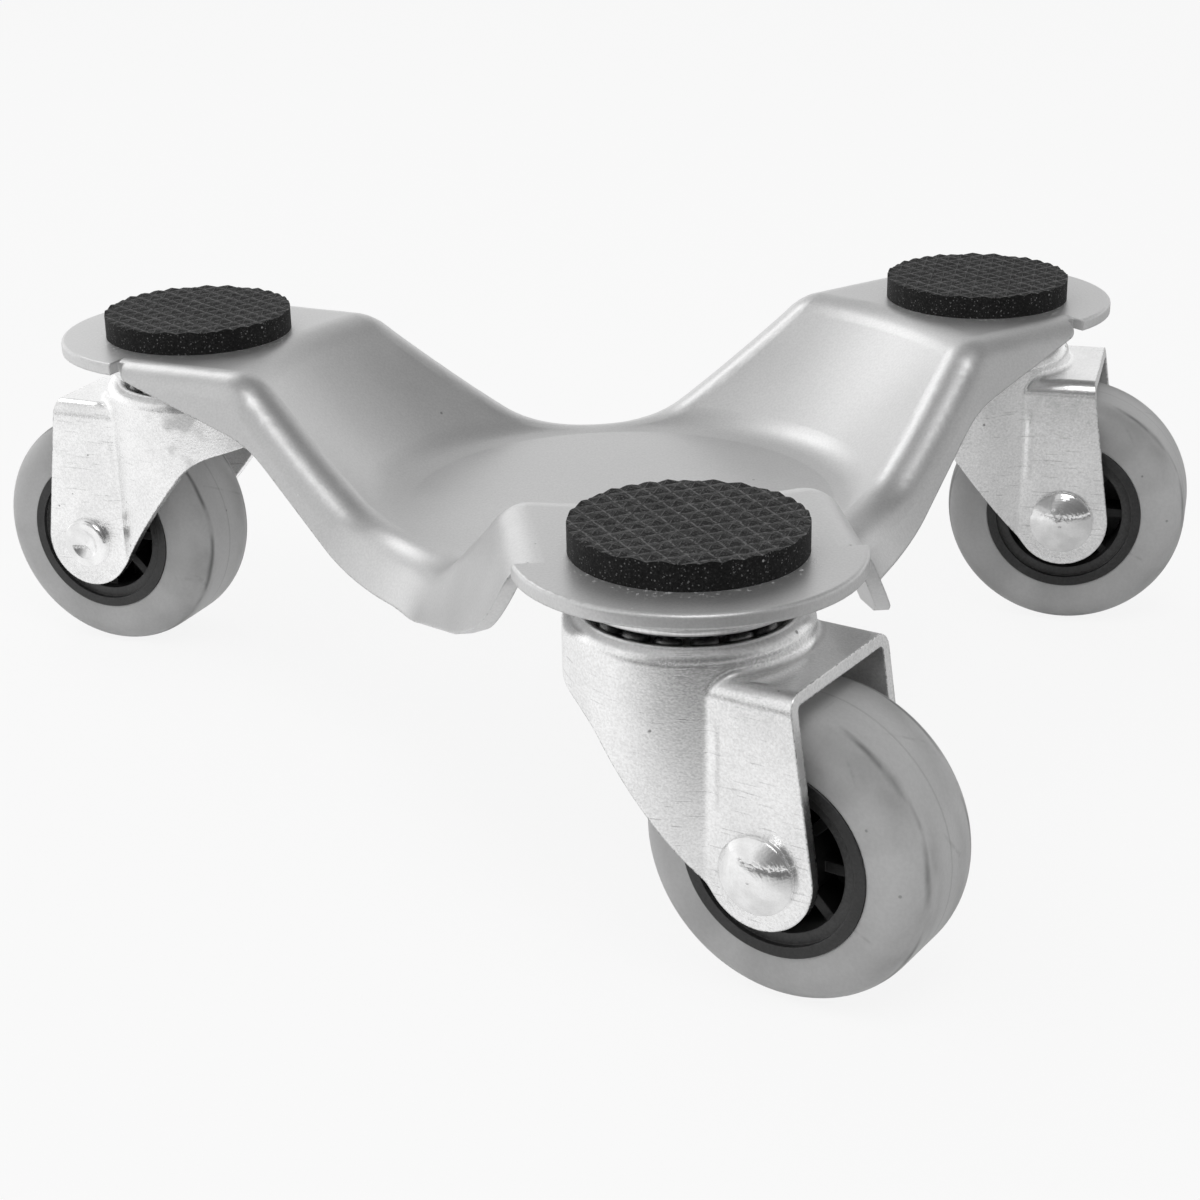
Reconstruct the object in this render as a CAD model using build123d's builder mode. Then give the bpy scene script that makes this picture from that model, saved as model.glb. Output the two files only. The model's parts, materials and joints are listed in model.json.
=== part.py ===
from build123d import *

import os
from math import acos, atan2, cos, hypot, pi, radians, sin, sqrt, tan

# Furniture roller: a pressed three-armed frame on three swivel castors.
# Millimetres, +Z up. The origin is on the floor, under the axis that the three arms share,
# and the front arm points towards -Y.

# Layout
kingpin_circle = 94.5  # from the frame's axis to each kingpin
arm_angles = {"front": -90.0, "right": 30.0, "left": 150.0}  # anticlockwise, a third of a turn apart
swing_angles = {"front": 50.6, "right": -51.2, "left": 0.9}  # of each castor, from straight out along its arm

# Pressed frame
sheet = 2.3
dish_depth = 24.4
dish_rim_radius = 70.7  # where the dish wall would meet the arms if the bend were sharp
dish_wall_angle = 45.0
dish_foot_bend = 12.0
dish_rim_bend = 10.0
arm_half_width = 27.2  # to the corner that the fold rounds off
bay_centre = 86.6  # from the frame's axis to the centre of each bay's arc
flare_angle = 24.0  # of the flanges, from upright
fold_radius = 7.0
bay_drop = 33.4  # from the arms' upper face down to the flanges' edge in the middle of a bay
bay_edge_end = 36.4  # along an arm, where the flanges' edge starts to rise
flange_knees = {"front": 77.0, "right": 64.0, "left": 64.0}  # along an arm, where that edge changes slope
flange_knee_drops = {"front": 19.6, "right": 11.6, "left": 11.6}
flange_end_drops = {"front": 10.6, "right": 2.4, "left": 2.4}
flange_bend = 27.0  # of the flanges' edge, in side view
flange_reach = 1.5  # from the kingpin out to the end of each flange
flange_corner = 1.4  # radius at the lower end of each flange, as a share of its height there
tip_radius = 28.0
tip_edge_radius = 0.6
tip_overlap = 4.0  # how far the round tip's flat runs back into the arm
notch_depth = 2.2  # how far the notch at a flange's end cuts into the fold
notch_width = 1.5

# Rubber pads
pad_diameter = 37.8
pad_thickness = 4.8

# Wheel
wheel_diameter = 50.0
tyre_width = 22.0
tyre_shoulder = 5.5
hub_width = 22.6
hub_seat_diameter = 30.0
hub_lip_diameter = 32.2
hub_lip_width = 1.0
hub_step_diameter = 28.4
hub_step_depth = 1.0
hub_rim_inner_diameter = 24.4
hub_boss_diameter = 15.0
hub_web = 3.0
hub_rib = 1.8
hub_rib_count = 8
hub_rib_setback = 2.4  # from the rim's face down to the ribs

# Fork
fork_sheet = 2.0
fork_inner_width = 27.4
trail = 21.5
wheel_room = 3.4  # between the wheel and the yoke's roof
crown_radius = 20.0
crown_rise = 4.5  # of the crown's top above the yoke
crown_shoulder = 2.8
crown_root = 1.5  # hollow round where the yoke leaves the crown
yoke_corner = 3.0
yoke_overhang = 5.2  # of the yoke's rear edge behind the axle
leg_end_radius = 9.5
leg_edge_angle = 52.4
skirt_drop = 10.0  # from the crown's top down to the front of the skirt
skirt_slope = 14.0
skirt_blend = 14.0

# Swivel bearing
kingpin_diameter = 10.0
kingpin_sink = 2.0
kingpin_head_diameter = 16.4
kingpin_head_height = 2.5
race_sheet = 2.2
race_gap = 1.2  # between the upper race's rim and the crown
upper_race_diameter = 36.6
upper_ball_diameter = 5.0
lower_race_diameter = 23.8
lower_race_lip = 1.9
lower_ball_diameter = 4.0
groove_depth = 0.3
groove_width = 0.64  # as a share of the balls' diameter

# Axle
axle_diameter = 8.0
axle_head_diameter = 13.0
axle_head_height = 3.0
axle_head_rim = 0.8
clinch_diameter = 10.4
clinch_height = 1.6
clinch_edge = 0.8
dimple_diameter = 6.4
dimple_depth = 1.0
sleeve_wall = 1.5

# Clearances
running = 0.05  # radial, between a pin and what it passes through
ball_seat = 0.03  # between a ball and its groove
race_room = 0.3  # between the balls and the wall of their race
tyre_fit = 0.05
hub_end_gap = 0.5  # between the hub's boss and a fork leg
sleeve_end_gap = 0.05

# Heights above the floor, stacked up from the wheel
axle_height = wheel_diameter / 2
yoke_top = wheel_diameter + wheel_room + fork_sheet
crown_top = yoke_top + crown_rise
upper_ball_height = crown_top - groove_depth + ball_seat + upper_ball_diameter / 2
upper_race_web_low = upper_ball_height + upper_ball_diameter / 2 + ball_seat - groove_depth
plate_low = upper_race_web_low + race_sheet
plate_top = plate_low + sheet
above_arm = plate_top + sheet
crown_low = crown_top - fork_sheet
lower_ball_height = crown_low + groove_depth - ball_seat - lower_ball_diameter / 2
lower_race_top = lower_ball_height - lower_ball_diameter / 2 - ball_seat + groove_depth
lower_race_low = lower_race_top - race_sheet

# Other values that follow from the sizes above
upper_ball_circle = upper_race_diameter - 2 * (race_sheet + race_room) - upper_ball_diameter
lower_race_wall = race_sheet / 2
lower_ball_circle = lower_race_diameter - 2 * (lower_race_wall + race_room) - lower_ball_diameter
fork_outer_half = fork_inner_width / 2 + fork_sheet
kingpin_radius = kingpin_diameter / 2
axle_radius = axle_diameter / 2
sleeve_radius = axle_radius + running + sleeve_wall
flare = radians(flare_angle)
outside = 2 * kingpin_circle  # well clear of the object, for cutting bodies

os.makedirs("parts", exist_ok=True)


def save(piece, name):
    """Labels a finished piece and writes its STEP file."""
    piece.label = name
    export_step(piece, f"parts/{name}.step")


def arm_point(angle, along, across):
    """Plan point at a distance along an arm and across it, to its left."""
    turn = radians(angle)
    return along * cos(turn) - across * sin(turn), along * sin(turn) + across * cos(turn)


def arm_side(angle, across):
    """Plane of an arm's side view, X along the arm and Y up, moved across to the arm's right."""
    turn = radians(angle)
    plane = Plane((0, 0, 0), x_dir=(cos(turn), sin(turn), 0), z_dir=(sin(turn), -cos(turn), 0))
    return plane.offset(across)


def under_dish(inset):
    """Solid below the dish's face, which is moved in by inset along its normal."""
    lean = radians(dish_wall_angle)
    rim_height = plate_top - inset
    rim_radius = dish_rim_radius + inset * tan(lean / 2)
    foot_height = rim_height - dish_depth
    foot_radius = rim_radius - dish_depth / tan(lean)
    with BuildPart() as body:
        with BuildSketch(Plane.XZ):
            with BuildLine():
                FilletPolyline(
                    (0, foot_height),
                    (foot_radius, foot_height),
                    (rim_radius, rim_height),
                    (outside, rim_height),
                    radius=[dish_foot_bend + inset, dish_rim_bend - inset],
                )
                Polyline((outside, rim_height), (outside, -plate_top), (0, -plate_top), (0, foot_height))
            make_face()
        revolve(axis=Axis.Z)
    return body.part


def pressing(inset, reach):
    """Solid below the pressed sheet, its faces moved in by inset and its arms run out to reach."""
    half_width = arm_half_width - sheet * tan(flare) - inset / cos(flare)
    side_start = bay_centre * cos(radians(60))
    bay_radius = bay_centre * sin(radians(60)) - half_width
    angles = list(arm_angles.values())
    core = under_dish(inset)
    with BuildPart() as body:
        with BuildSketch(Plane.XY.offset(above_arm)):
            with BuildLine():
                for angle, next_angle in zip(angles, angles[1:] + angles[:1]):
                    side_end = arm_point(angle, side_start, half_width)
                    Polyline(
                        arm_point(angle, side_start, -half_width),
                        arm_point(angle, reach, -half_width),
                        arm_point(angle, reach, half_width),
                        side_end,
                    )
                    ThreePointArc(
                        side_end,
                        arm_point(angle + 60, bay_centre - bay_radius, 0),
                        arm_point(next_angle, side_start, -half_width),
                    )
            make_face()
        extrude(amount=-above_arm, taper=-flare_angle)
        add(core, mode=Mode.INTERSECT)
        walls = body.faces().filter_by(lambda face: abs(face.normal_at().Z - sin(flare)) < 1e-3)
        sides = walls.filter_by(lambda face: hypot(face.center().X, face.center().Y) < kingpin_circle)
        rim = sides.edges().filter_by(lambda edge: edge.center().Z > plate_top - dish_depth - sheet)
        folds = rim.filter_by(lambda edge: edge @ 0 != edge @ 1 and abs((edge % 0.5).Z) < cos(flare) - 0.2)
        fillet(folds, fold_radius - inset)
    return body.part


def below_flanges(arm):
    """Solid below the edge of one arm's flanges, out to the middle of the bays beside it."""
    angle = arm_angles[arm]
    bay_low = plate_top - bay_drop
    end_low = plate_top - flange_end_drops[arm]
    with BuildPart() as body:
        with BuildSketch(Plane.XY.offset(-sheet)):
            with BuildLine():
                Polyline(
                    (0, 0),
                    arm_point(angle - 60, 2 * outside, 0),
                    arm_point(angle + 60, 2 * outside, 0),
                    close=True,
                )
            make_face()
        extrude(amount=above_arm)
        with BuildSketch(arm_side(angle, 0)):
            with BuildLine():
                FilletPolyline(
                    (0, bay_low),
                    (bay_edge_end, bay_low),
                    (flange_knees[arm], plate_top - flange_knee_drops[arm]),
                    (flange_end, end_low),
                    radius=flange_bend,
                )
                Polyline(
                    (flange_end, end_low),
                    (outside, end_low),
                    (outside, -sheet),
                    (0, -sheet),
                    (0, bay_low),
                )
            make_face()
        extrude(amount=outside, both=True, mode=Mode.INTERSECT)
    return body.part


# Pressed frame: the outer form less the same form one sheet thickness in, trimmed below the flanges
flange_end = kingpin_circle + flange_reach
tip_start = flange_end + notch_width
notch_side = arm_half_width - notch_depth
flat_side = arm_half_width - fold_radius * tan((radians(90) - flare) / 2)
outer_form = pressing(0, kingpin_circle + tip_radius)
inner_form = pressing(sheet, kingpin_circle + 2 * tip_radius)
flange_trims = [below_flanges(arm) for arm in arm_angles]
with BuildPart() as arm_tip:
    with BuildSketch(Plane.XY.offset(plate_low)):
        with Locations((kingpin_circle, 0)):
            Circle(tip_radius)
        with Locations((tip_start - outside / 2, 0)):
            Rectangle(outside, outside, mode=Mode.SUBTRACT)
    extrude(amount=sheet)
    tip_edges = arm_tip.edges().filter_by(GeomType.CIRCLE).group_by(Axis.Z)[-1]
    fillet(tip_edges, tip_edge_radius)
    with BuildSketch(Plane.XY.offset(plate_low)):
        with Locations((tip_start - tip_overlap / 2, 0)):
            Rectangle(tip_overlap, 2 * flat_side)
    extrude(amount=sheet)
with BuildPart() as pressed_frame:
    add(outer_form)
    add(inner_form, mode=Mode.SUBTRACT)
    for trim in flange_trims:
        add(trim, mode=Mode.SUBTRACT)
    for arm, angle in arm_angles.items():
        # The flanges end in a round corner and a notch
        edge_start = (3 * flange_knees[arm] + flange_end) / 4
        end_low = plate_top - flange_end_drops[arm]
        start_low = plate_top - (3 * flange_knee_drops[arm] + flange_end_drops[arm]) / 4
        for side in (1, -1):
            with BuildSketch(arm_side(angle, side * notch_side)):
                with BuildLine():
                    FilletPolyline(
                        (flange_end, above_arm),
                        (flange_end, end_low),
                        (edge_start, start_low),
                        radius=flange_corner * flange_end_drops[arm],
                    )
                    Polyline(
                        (edge_start, start_low),
                        (edge_start, 0),
                        (outside, 0),
                        (outside, above_arm),
                        (flange_end, above_arm),
                    )
                make_face()
            extrude(amount=side * outside, mode=Mode.SUBTRACT)
        # Past the notch the arm is a flat round tip
        with BuildSketch(arm_side(angle, 0)):
            with Locations((tip_start + outside / 2, above_arm / 2)):
                Rectangle(outside, above_arm)
        extrude(amount=outside / 2, both=True, mode=Mode.SUBTRACT)
    with PolarLocations(0, len(arm_angles), start_angle=arm_angles["front"]):
        add(arm_tip.part)
    with Locations(Plane.XY.offset(plate_top)):
        with PolarLocations(kingpin_circle, len(arm_angles), start_angle=arm_angles["front"]):
            CounterSinkHole(
                radius=kingpin_radius + running,
                counter_sink_radius=kingpin_radius + running + kingpin_sink,
                counter_sink_angle=90,
            )
save(pressed_frame.part, "pressed_frame")

# Rubber pad, glued on the arm over the kingpin
with BuildPart() as pad:
    with BuildSketch(Plane.XY.offset(plate_top)):
        Circle(pad_diameter / 2)
    extrude(amount=pad_thickness)


def groove_ring(diameter, circle, height):
    """Ring that cuts the balls' grooves in the faces above and below them."""
    half_width = groove_width * diameter / 2
    with BuildPart() as ring:
        with BuildSketch(Plane.XY.offset(height)):
            Circle(circle / 2 + half_width)
            Circle(circle / 2 - half_width, mode=Mode.SUBTRACT)
        extrude(amount=diameter / 2 + ball_seat, both=True)
    return ring.part


def ball_ring(diameter, circle, height):
    """A full ring of bearing balls, each a cube with its edges cut back to even flats."""
    half_flat = diameter * (sqrt(2) - 1) / 2
    count = int(pi / atan2(diameter / 2 + ball_seat, circle / 2 - half_flat))
    with BuildPart() as ball:
        Box(diameter, diameter, diameter)
        chamfer(ball.edges(), diameter * (1 - sqrt(1 / 2)))
    with BuildPart() as ring:
        with Locations((0, 0, height)):
            with PolarLocations(circle / 2, count):
                add(ball.part)
    return ring.part


upper_groove = groove_ring(upper_ball_diameter, upper_ball_circle, upper_ball_height)
lower_groove = groove_ring(lower_ball_diameter, lower_ball_circle, lower_ball_height)

# Upper race: a cup riveted under the arm
with BuildPart() as upper_race:
    with BuildSketch(Plane.XZ):
        with BuildLine():
            Polyline(
                (kingpin_radius + running, plate_low),
                (upper_race_diameter / 2, plate_low),
                (upper_race_diameter / 2, crown_top + race_gap),
                (upper_race_diameter / 2 - race_sheet, crown_top + race_gap),
                (upper_race_diameter / 2 - race_sheet, upper_race_web_low),
                (kingpin_radius + running, upper_race_web_low),
                close=True,
            )
        make_face()
    revolve(axis=Axis.Z)
    rim_edges = upper_race.edges().filter_by(GeomType.CIRCLE).group_by(Axis.Z)[0]
    fillet(rim_edges, race_sheet / 2 - running)
    add(upper_groove, mode=Mode.SUBTRACT)

# Lower race: a cupped washer on the kingpin's head
with BuildPart() as lower_race:
    with BuildSketch(Plane.XZ):
        with BuildLine():
            Polyline(
                (kingpin_radius + running, lower_race_low),
                (lower_race_diameter / 2, lower_race_low),
                (lower_race_diameter / 2, lower_race_top + lower_race_lip),
                (lower_race_diameter / 2 - lower_race_wall, lower_race_top + lower_race_lip),
                (lower_race_diameter / 2 - lower_race_wall, lower_race_top),
                (kingpin_radius + running, lower_race_top),
                close=True,
            )
        make_face()
    revolve(axis=Axis.Z)
    add(lower_groove, mode=Mode.SUBTRACT)

# Kingpin: a rivet, sunk flush in the arm and headed under the lower race
kingpin_low = lower_race_low - kingpin_head_height
with BuildPart() as kingpin:
    with BuildSketch(Plane.XZ):
        with BuildLine():
            Polyline(
                (kingpin_head_diameter / 2, lower_race_low),
                (kingpin_radius, lower_race_low),
                (kingpin_radius, plate_top - kingpin_sink),
                (kingpin_radius + kingpin_sink, plate_top),
                (0, plate_top),
                (0, kingpin_low),
            )
            TangentArc((0, kingpin_low), (kingpin_head_diameter / 2, lower_race_low), tangent=(1, 0))
        make_face()
    revolve(axis=Axis.Z)


def on_crown(edge, radius, top):
    """True for an edge along which the yoke leaves the crown's wall."""
    points = [edge @ share for share in (0, 0.5, 1)]
    at_wall = all(abs(hypot(point.X, point.Y) - radius) < 0.01 for point in points)
    return at_wall and all(point.X > 0 and point.Z < top + 0.01 for point in points)


def fork_form(inset):
    """Solid inside the fork's outer faces, moved in by inset. The wheel trails along +X."""
    with BuildPart() as form:
        with BuildSketch():
            Circle(crown_radius - inset)
        extrude(amount=crown_top - inset)
        fillet(form.faces().sort_by(Axis.Z)[-1].edges(), crown_shoulder - inset)
        with BuildSketch(Plane.YZ) as yoke:
            with Locations((0, (yoke_top - inset) / 2)):
                Rectangle(2 * (fork_outer_half - inset), yoke_top - inset)
            fillet(yoke.vertices().group_by(Axis.Y)[-1], yoke_corner - inset)
        extrude(amount=2 * crown_radius + inset)
        root = form.edges().filter_by(lambda edge: on_crown(edge, crown_radius - inset, yoke_top - inset))
        fillet(root, crown_root)
    return form.part


# Fork: a crown round the kingpin and two legs, drawn from one sheet and cut to a side outline
leg_turn = radians(leg_edge_angle)
leg_edge = (trail - leg_end_radius * sin(leg_turn), axle_height - leg_end_radius * cos(leg_turn))
skirt_fall = tan(radians(skirt_slope))
skirt_low = crown_top - skirt_drop
skirt_start = (-outside, skirt_low + (outside - crown_radius) * skirt_fall)
skirt_rise = skirt_low - (leg_edge[0] + crown_radius) * skirt_fall - leg_edge[1]
skirt_run = skirt_rise / (sin(leg_turn) - cos(leg_turn) * skirt_fall)
skirt_corner = (leg_edge[0] - skirt_run * cos(leg_turn), leg_edge[1] + skirt_run * sin(leg_turn))
rear_corner = (trail + yoke_overhang, yoke_top)
rear_reach = hypot(yoke_overhang, yoke_top - axle_height)
rear_turn = atan2(yoke_top - axle_height, yoke_overhang) - acos(leg_end_radius / rear_reach)
rear_edge = (trail + leg_end_radius * cos(rear_turn), axle_height + leg_end_radius * sin(rear_turn))
outer_fork = fork_form(0)
inner_fork = fork_form(fork_sheet)
with BuildPart() as fork:
    add(outer_fork)
    add(inner_fork, mode=Mode.SUBTRACT)
    with BuildSketch(Plane.XZ):
        with BuildLine():
            FilletPolyline(skirt_start, skirt_corner, leg_edge, radius=skirt_blend)
            TangentArc(leg_edge, rear_edge, tangent=(cos(leg_turn), -sin(leg_turn)))
            Polyline(rear_edge, rear_corner, (rear_corner[0], outside), (-outside, outside), skirt_start)
        make_face()
    extrude(amount=outside, both=True, mode=Mode.INTERSECT)
    with BuildSketch(Plane.XZ):
        with Locations((trail, axle_height)):
            Circle(axle_radius + running)
    extrude(amount=outside, both=True, mode=Mode.SUBTRACT)
    with Locations((0, 0, crown_top)):
        Hole(kingpin_radius + running, depth=2 * fork_sheet)
    add(upper_groove, mode=Mode.SUBTRACT)
    add(lower_groove, mode=Mode.SUBTRACT)

# The pieces on the axle are made about the Y axis, and seated in the fork when they are placed

# Axle: a rivet with a domed head, its other end clinched over the leg with a dimple
head_rim = -fork_outer_half - axle_head_rim
head_end = -fork_outer_half - axle_head_height
clinch_end = fork_outer_half + clinch_height
with BuildPart() as axle:
    with BuildSketch():
        with BuildLine():
            TangentArc((0, head_end), (axle_head_diameter / 2, head_rim), tangent=(1, 0))
            FilletPolyline(
                (axle_head_diameter / 2, head_rim),
                (axle_head_diameter / 2, -fork_outer_half),
                (axle_radius, -fork_outer_half),
                (axle_radius, fork_outer_half),
                (clinch_diameter / 2, fork_outer_half),
                (clinch_diameter / 2, clinch_end),
                (dimple_diameter / 2, clinch_end),
                radius=[0, 0, 0, 0, clinch_edge],
            )
            TangentArc((0, clinch_end - dimple_depth), (dimple_diameter / 2, clinch_end), tangent=(1, 0))
            Line((0, clinch_end - dimple_depth), (0, head_end))
        make_face()
    revolve(axis=Axis.Y)

# Axle sleeve: a tube between the legs, on which the hub turns
with BuildPart() as axle_sleeve:
    with BuildSketch(Plane.XZ):
        Circle(sleeve_radius)
        Circle(axle_radius + running, mode=Mode.SUBTRACT)
    extrude(amount=fork_inner_width / 2 - sleeve_end_gap, both=True)

# Hub: boss, web and rim, with a lip each side of the tyre's seat and ribs on both faces
hub_bore = sleeve_radius + running
hub_boss = hub_boss_diameter / 2
hub_boss_end = fork_inner_width / 2 - hub_end_gap
hub_rim_inner = hub_rim_inner_diameter / 2
hub_seat = hub_seat_diameter / 2
hub_lip = hub_lip_diameter / 2
hub_end = hub_width / 2
hub_lip_start = hub_end - hub_lip_width
hub_face = hub_end - hub_step_depth
rib_start = (hub_bore + hub_boss) / 2
rib_end = (hub_rim_inner + hub_seat) / 2
with BuildPart() as hub:
    with BuildSketch():
        with BuildLine() as half_section:
            Polyline(
                (hub_bore, 0),
                (hub_bore, hub_boss_end),
                (hub_boss, hub_boss_end),
                (hub_boss, hub_web / 2),
                (hub_rim_inner, hub_web / 2),
                (hub_rim_inner, hub_face),
                (hub_step_diameter / 2, hub_face),
                (hub_step_diameter / 2, hub_end),
                (hub_lip, hub_end),
                (hub_lip, hub_lip_start),
                (hub_seat, hub_lip_start),
                (hub_seat, 0),
            )
            mirror(half_section.edges(), about=Plane.XZ)
        make_face()
    revolve(axis=Axis.Y)
    with BuildSketch(Plane.XZ):
        with PolarLocations((rib_start + rib_end) / 2, hub_rib_count):
            Rectangle(rib_end - rib_start, hub_rib)
    extrude(amount=hub_face - hub_rib_setback, both=True)

# Tyre: a solid rubber ring, its bore stepped to clear the hub's lips
tyre_radius = wheel_diameter / 2
tyre_end = tyre_width / 2
tyre_step = hub_lip_start - tyre_fit
with BuildPart() as tyre:
    with BuildSketch():
        with BuildLine():
            FilletPolyline(
                (hub_lip + tyre_fit, -tyre_end),
                (tyre_radius, -tyre_end),
                (tyre_radius, tyre_end),
                (hub_lip + tyre_fit, tyre_end),
                radius=tyre_shoulder,
            )
            Polyline(
                (hub_lip + tyre_fit, tyre_end),
                (hub_lip + tyre_fit, tyre_step),
                (hub_seat + tyre_fit, tyre_step),
                (hub_seat + tyre_fit, -tyre_step),
                (hub_lip + tyre_fit, -tyre_step),
                (hub_lip + tyre_fit, -tyre_end),
            )
        make_face()
    revolve(axis=Axis.Y)

# Each arm carries the same castor, swung to where its wheel trails
castor_pieces = {
    "pad": pad.part,
    "upper_race": upper_race.part,
    "upper_balls": ball_ring(upper_ball_diameter, upper_ball_circle, upper_ball_height),
    "fork": fork.part,
    "lower_balls": ball_ring(lower_ball_diameter, lower_ball_circle, lower_ball_height),
    "lower_race": lower_race.part,
    "kingpin": kingpin.part,
}
axle_pieces = {
    "axle": axle.part,
    "axle_sleeve": axle_sleeve.part,
    "hub": hub.part,
    "tyre": tyre.part,
}
for arm, angle in arm_angles.items():
    x, y = arm_point(angle, kingpin_circle, 0)
    castor = Location((x, y, 0), (0, 0, angle + swing_angles[arm]))
    seat = castor * Location((trail, 0, axle_height))
    for name, piece in castor_pieces.items():
        save(piece.moved(castor), f"{name}_{arm}")
    for name, piece in axle_pieces.items():
        save(piece.moved(seat), f"{name}_{arm}")
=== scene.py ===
import json
from math import atan2, cos, pi, radians, sin, sqrt

import bpy
from bpy.props import FloatProperty, FloatVectorProperty, IntProperty, PointerProperty
from bpy.types import Operator, Panel, PropertyGroup
from mathutils import Matrix, Vector


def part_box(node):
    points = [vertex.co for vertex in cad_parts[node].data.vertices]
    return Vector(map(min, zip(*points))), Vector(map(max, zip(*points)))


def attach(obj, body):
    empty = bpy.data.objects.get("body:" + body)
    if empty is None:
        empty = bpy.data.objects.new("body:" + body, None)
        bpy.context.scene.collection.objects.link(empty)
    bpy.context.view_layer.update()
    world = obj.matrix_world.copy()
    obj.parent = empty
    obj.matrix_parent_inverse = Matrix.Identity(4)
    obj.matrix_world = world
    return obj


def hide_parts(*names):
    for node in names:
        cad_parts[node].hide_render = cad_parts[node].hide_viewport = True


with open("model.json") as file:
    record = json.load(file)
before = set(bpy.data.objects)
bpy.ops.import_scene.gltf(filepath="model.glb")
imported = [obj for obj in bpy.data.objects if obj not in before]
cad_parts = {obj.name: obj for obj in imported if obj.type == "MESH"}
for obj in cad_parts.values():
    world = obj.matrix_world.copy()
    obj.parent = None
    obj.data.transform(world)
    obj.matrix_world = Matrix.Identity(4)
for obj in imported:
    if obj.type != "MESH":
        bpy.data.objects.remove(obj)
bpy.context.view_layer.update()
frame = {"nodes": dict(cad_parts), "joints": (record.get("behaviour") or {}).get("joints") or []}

bl_info = {
    "name": "Furniture roller",
    "version": (1, 0, 0),
    "blender": (4, 5, 0),
    "location": "View3D > Sidebar > Roller",
    "description": "Dresses a three-armed furniture roller: pads, balls, finishes and studio",
    "category": "Object",
}

ARMS = ("front", "right", "left")
NODES = frame["nodes"]
JOINTS = {joint["name"]: joint for joint in frame["joints"]}

# On every fork: how far the crown stands above the yoke, and from the kingpin to a leg's fold
CROWN_RISE = 0.0045
LEG_FOLD = 0.0124

# The bead beside a leg's fold: its distance from the fold, half its width, and where it starts
# and is full, above the axle and below the yoke
BEAD_OFFSET = 0.0016
BEAD_HALF_WIDTH = 0.0011
BEAD_FOOT = (0.008, 0.010)
BEAD_HEAD = (0.006, 0.010)

# How far the dish round a rivet reaches past the rivet's head, and under it
DISH_REACH = 0.0032
DISH_OVERLAP = 0.0005

# The frosted patch on the right fork: its place along and up from the kingpin's foot, and where
# it ends and is full
FROST_PLACE = (-0.010, 0.047)
FROST_REACH = (0.014, 0.005)

# Where the left fork's darker patches start and are full, along from the kingpin
DARK_PATCH_REACH = (0.004, -0.004)

# Radii of the circles that a race's brushing and its chatter marks are laid on
BRUSH_RADIUS = 0.0012
CHATTER_RADIUS = 0.018

# Marks on a tyre: the shoulder's distance from the middle and how far its dirt wanders, half the
# width of a streak, of a smear and of the parting line with its core, where the tread begins and
# is full, the radius of the circle that dirt is laid on, and the spacing of scuffs
SHOULDER = 0.0072
SHOULDER_WANDER = 0.0035
STREAK_HALF_WIDTH = 0.0009
SMEAR_HALF_WIDTH = 0.0065
PARTING_HALF_WIDTH = (0.00030, 0.00012)
TREAD_RADIUS = (0.0225, 0.0242)
STRIP_RADIUS = 0.010
SCUFF_SPACING = 0.016

# Radii at which a hub's step and its rim begin and are full
HUB_STEP = (0.0118, 0.0124)
HUB_RIM = (0.0140, 0.0146)

# How far from a pad's edge dust lies on the paint
DUST_REACH = 0.0045

# Share of a bearing ball's CAD radius that its smooth ball has
BALL_FIT = 0.99

# Where the floor that metal mirrors brightens away from the camera, and dims to the right: painted
# shade for the dark studio round the camera and the roller's shadow to the right
FLOOR_AHEAD = (-0.27, -0.15)
FLOOR_ASIDE = (-0.10, 0.14)

# The camera's sensor in millimetres and its nearest sight in metres
SENSOR_WIDTH = 36.0
CLIP_START = 0.01


def kingpin(arm):
    """Foot of the axis that an arm's castor swivels about."""
    x, y, _ = JOINTS[f"{arm}_swivel"]["pos_m"]
    return Vector((x, y, 0.0))


def axle(arm):
    """Centre of an arm's wheel at rest."""
    return Vector(JOINTS[f"{arm}_wheel"]["pos_m"])


def trail_turn(arm):
    """Angle about +Z from +X to where an arm's wheel trails at rest."""
    reach = axle(arm) - kingpin(arm)
    return atan2(reach.y, reach.x)


# Settings


class RollerSizes(PropertyGroup):
    """Sizes of the pieces that this script models."""

    pad_pitch: FloatProperty(
        name="Pyramid pitch", description="Spacing of the pyramids on the rubber pads",
        default=0.00333, unit="LENGTH",
    )
    pad_relief: FloatProperty(
        name="Pyramid height", description="Height of the pyramids on the rubber pads",
        default=0.00042, unit="LENGTH",
    )
    pad_turns: FloatVectorProperty(
        name="Pyramid directions",
        description="Turn of the pyramid rows on the front, right and left pad",
        default=(radians(17.5), radians(26.5), radians(35)), size=3, subtype="EULER",
    )
    pad_sides: IntProperty(
        name="Pad sides", description="Sides of a rubber pad's round outline",
        default=160, min=32,
    )
    ball_segments: IntProperty(
        name="Ball segments", description="Sides of a bearing ball, seen along its axis",
        default=20, min=8,
    )


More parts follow.
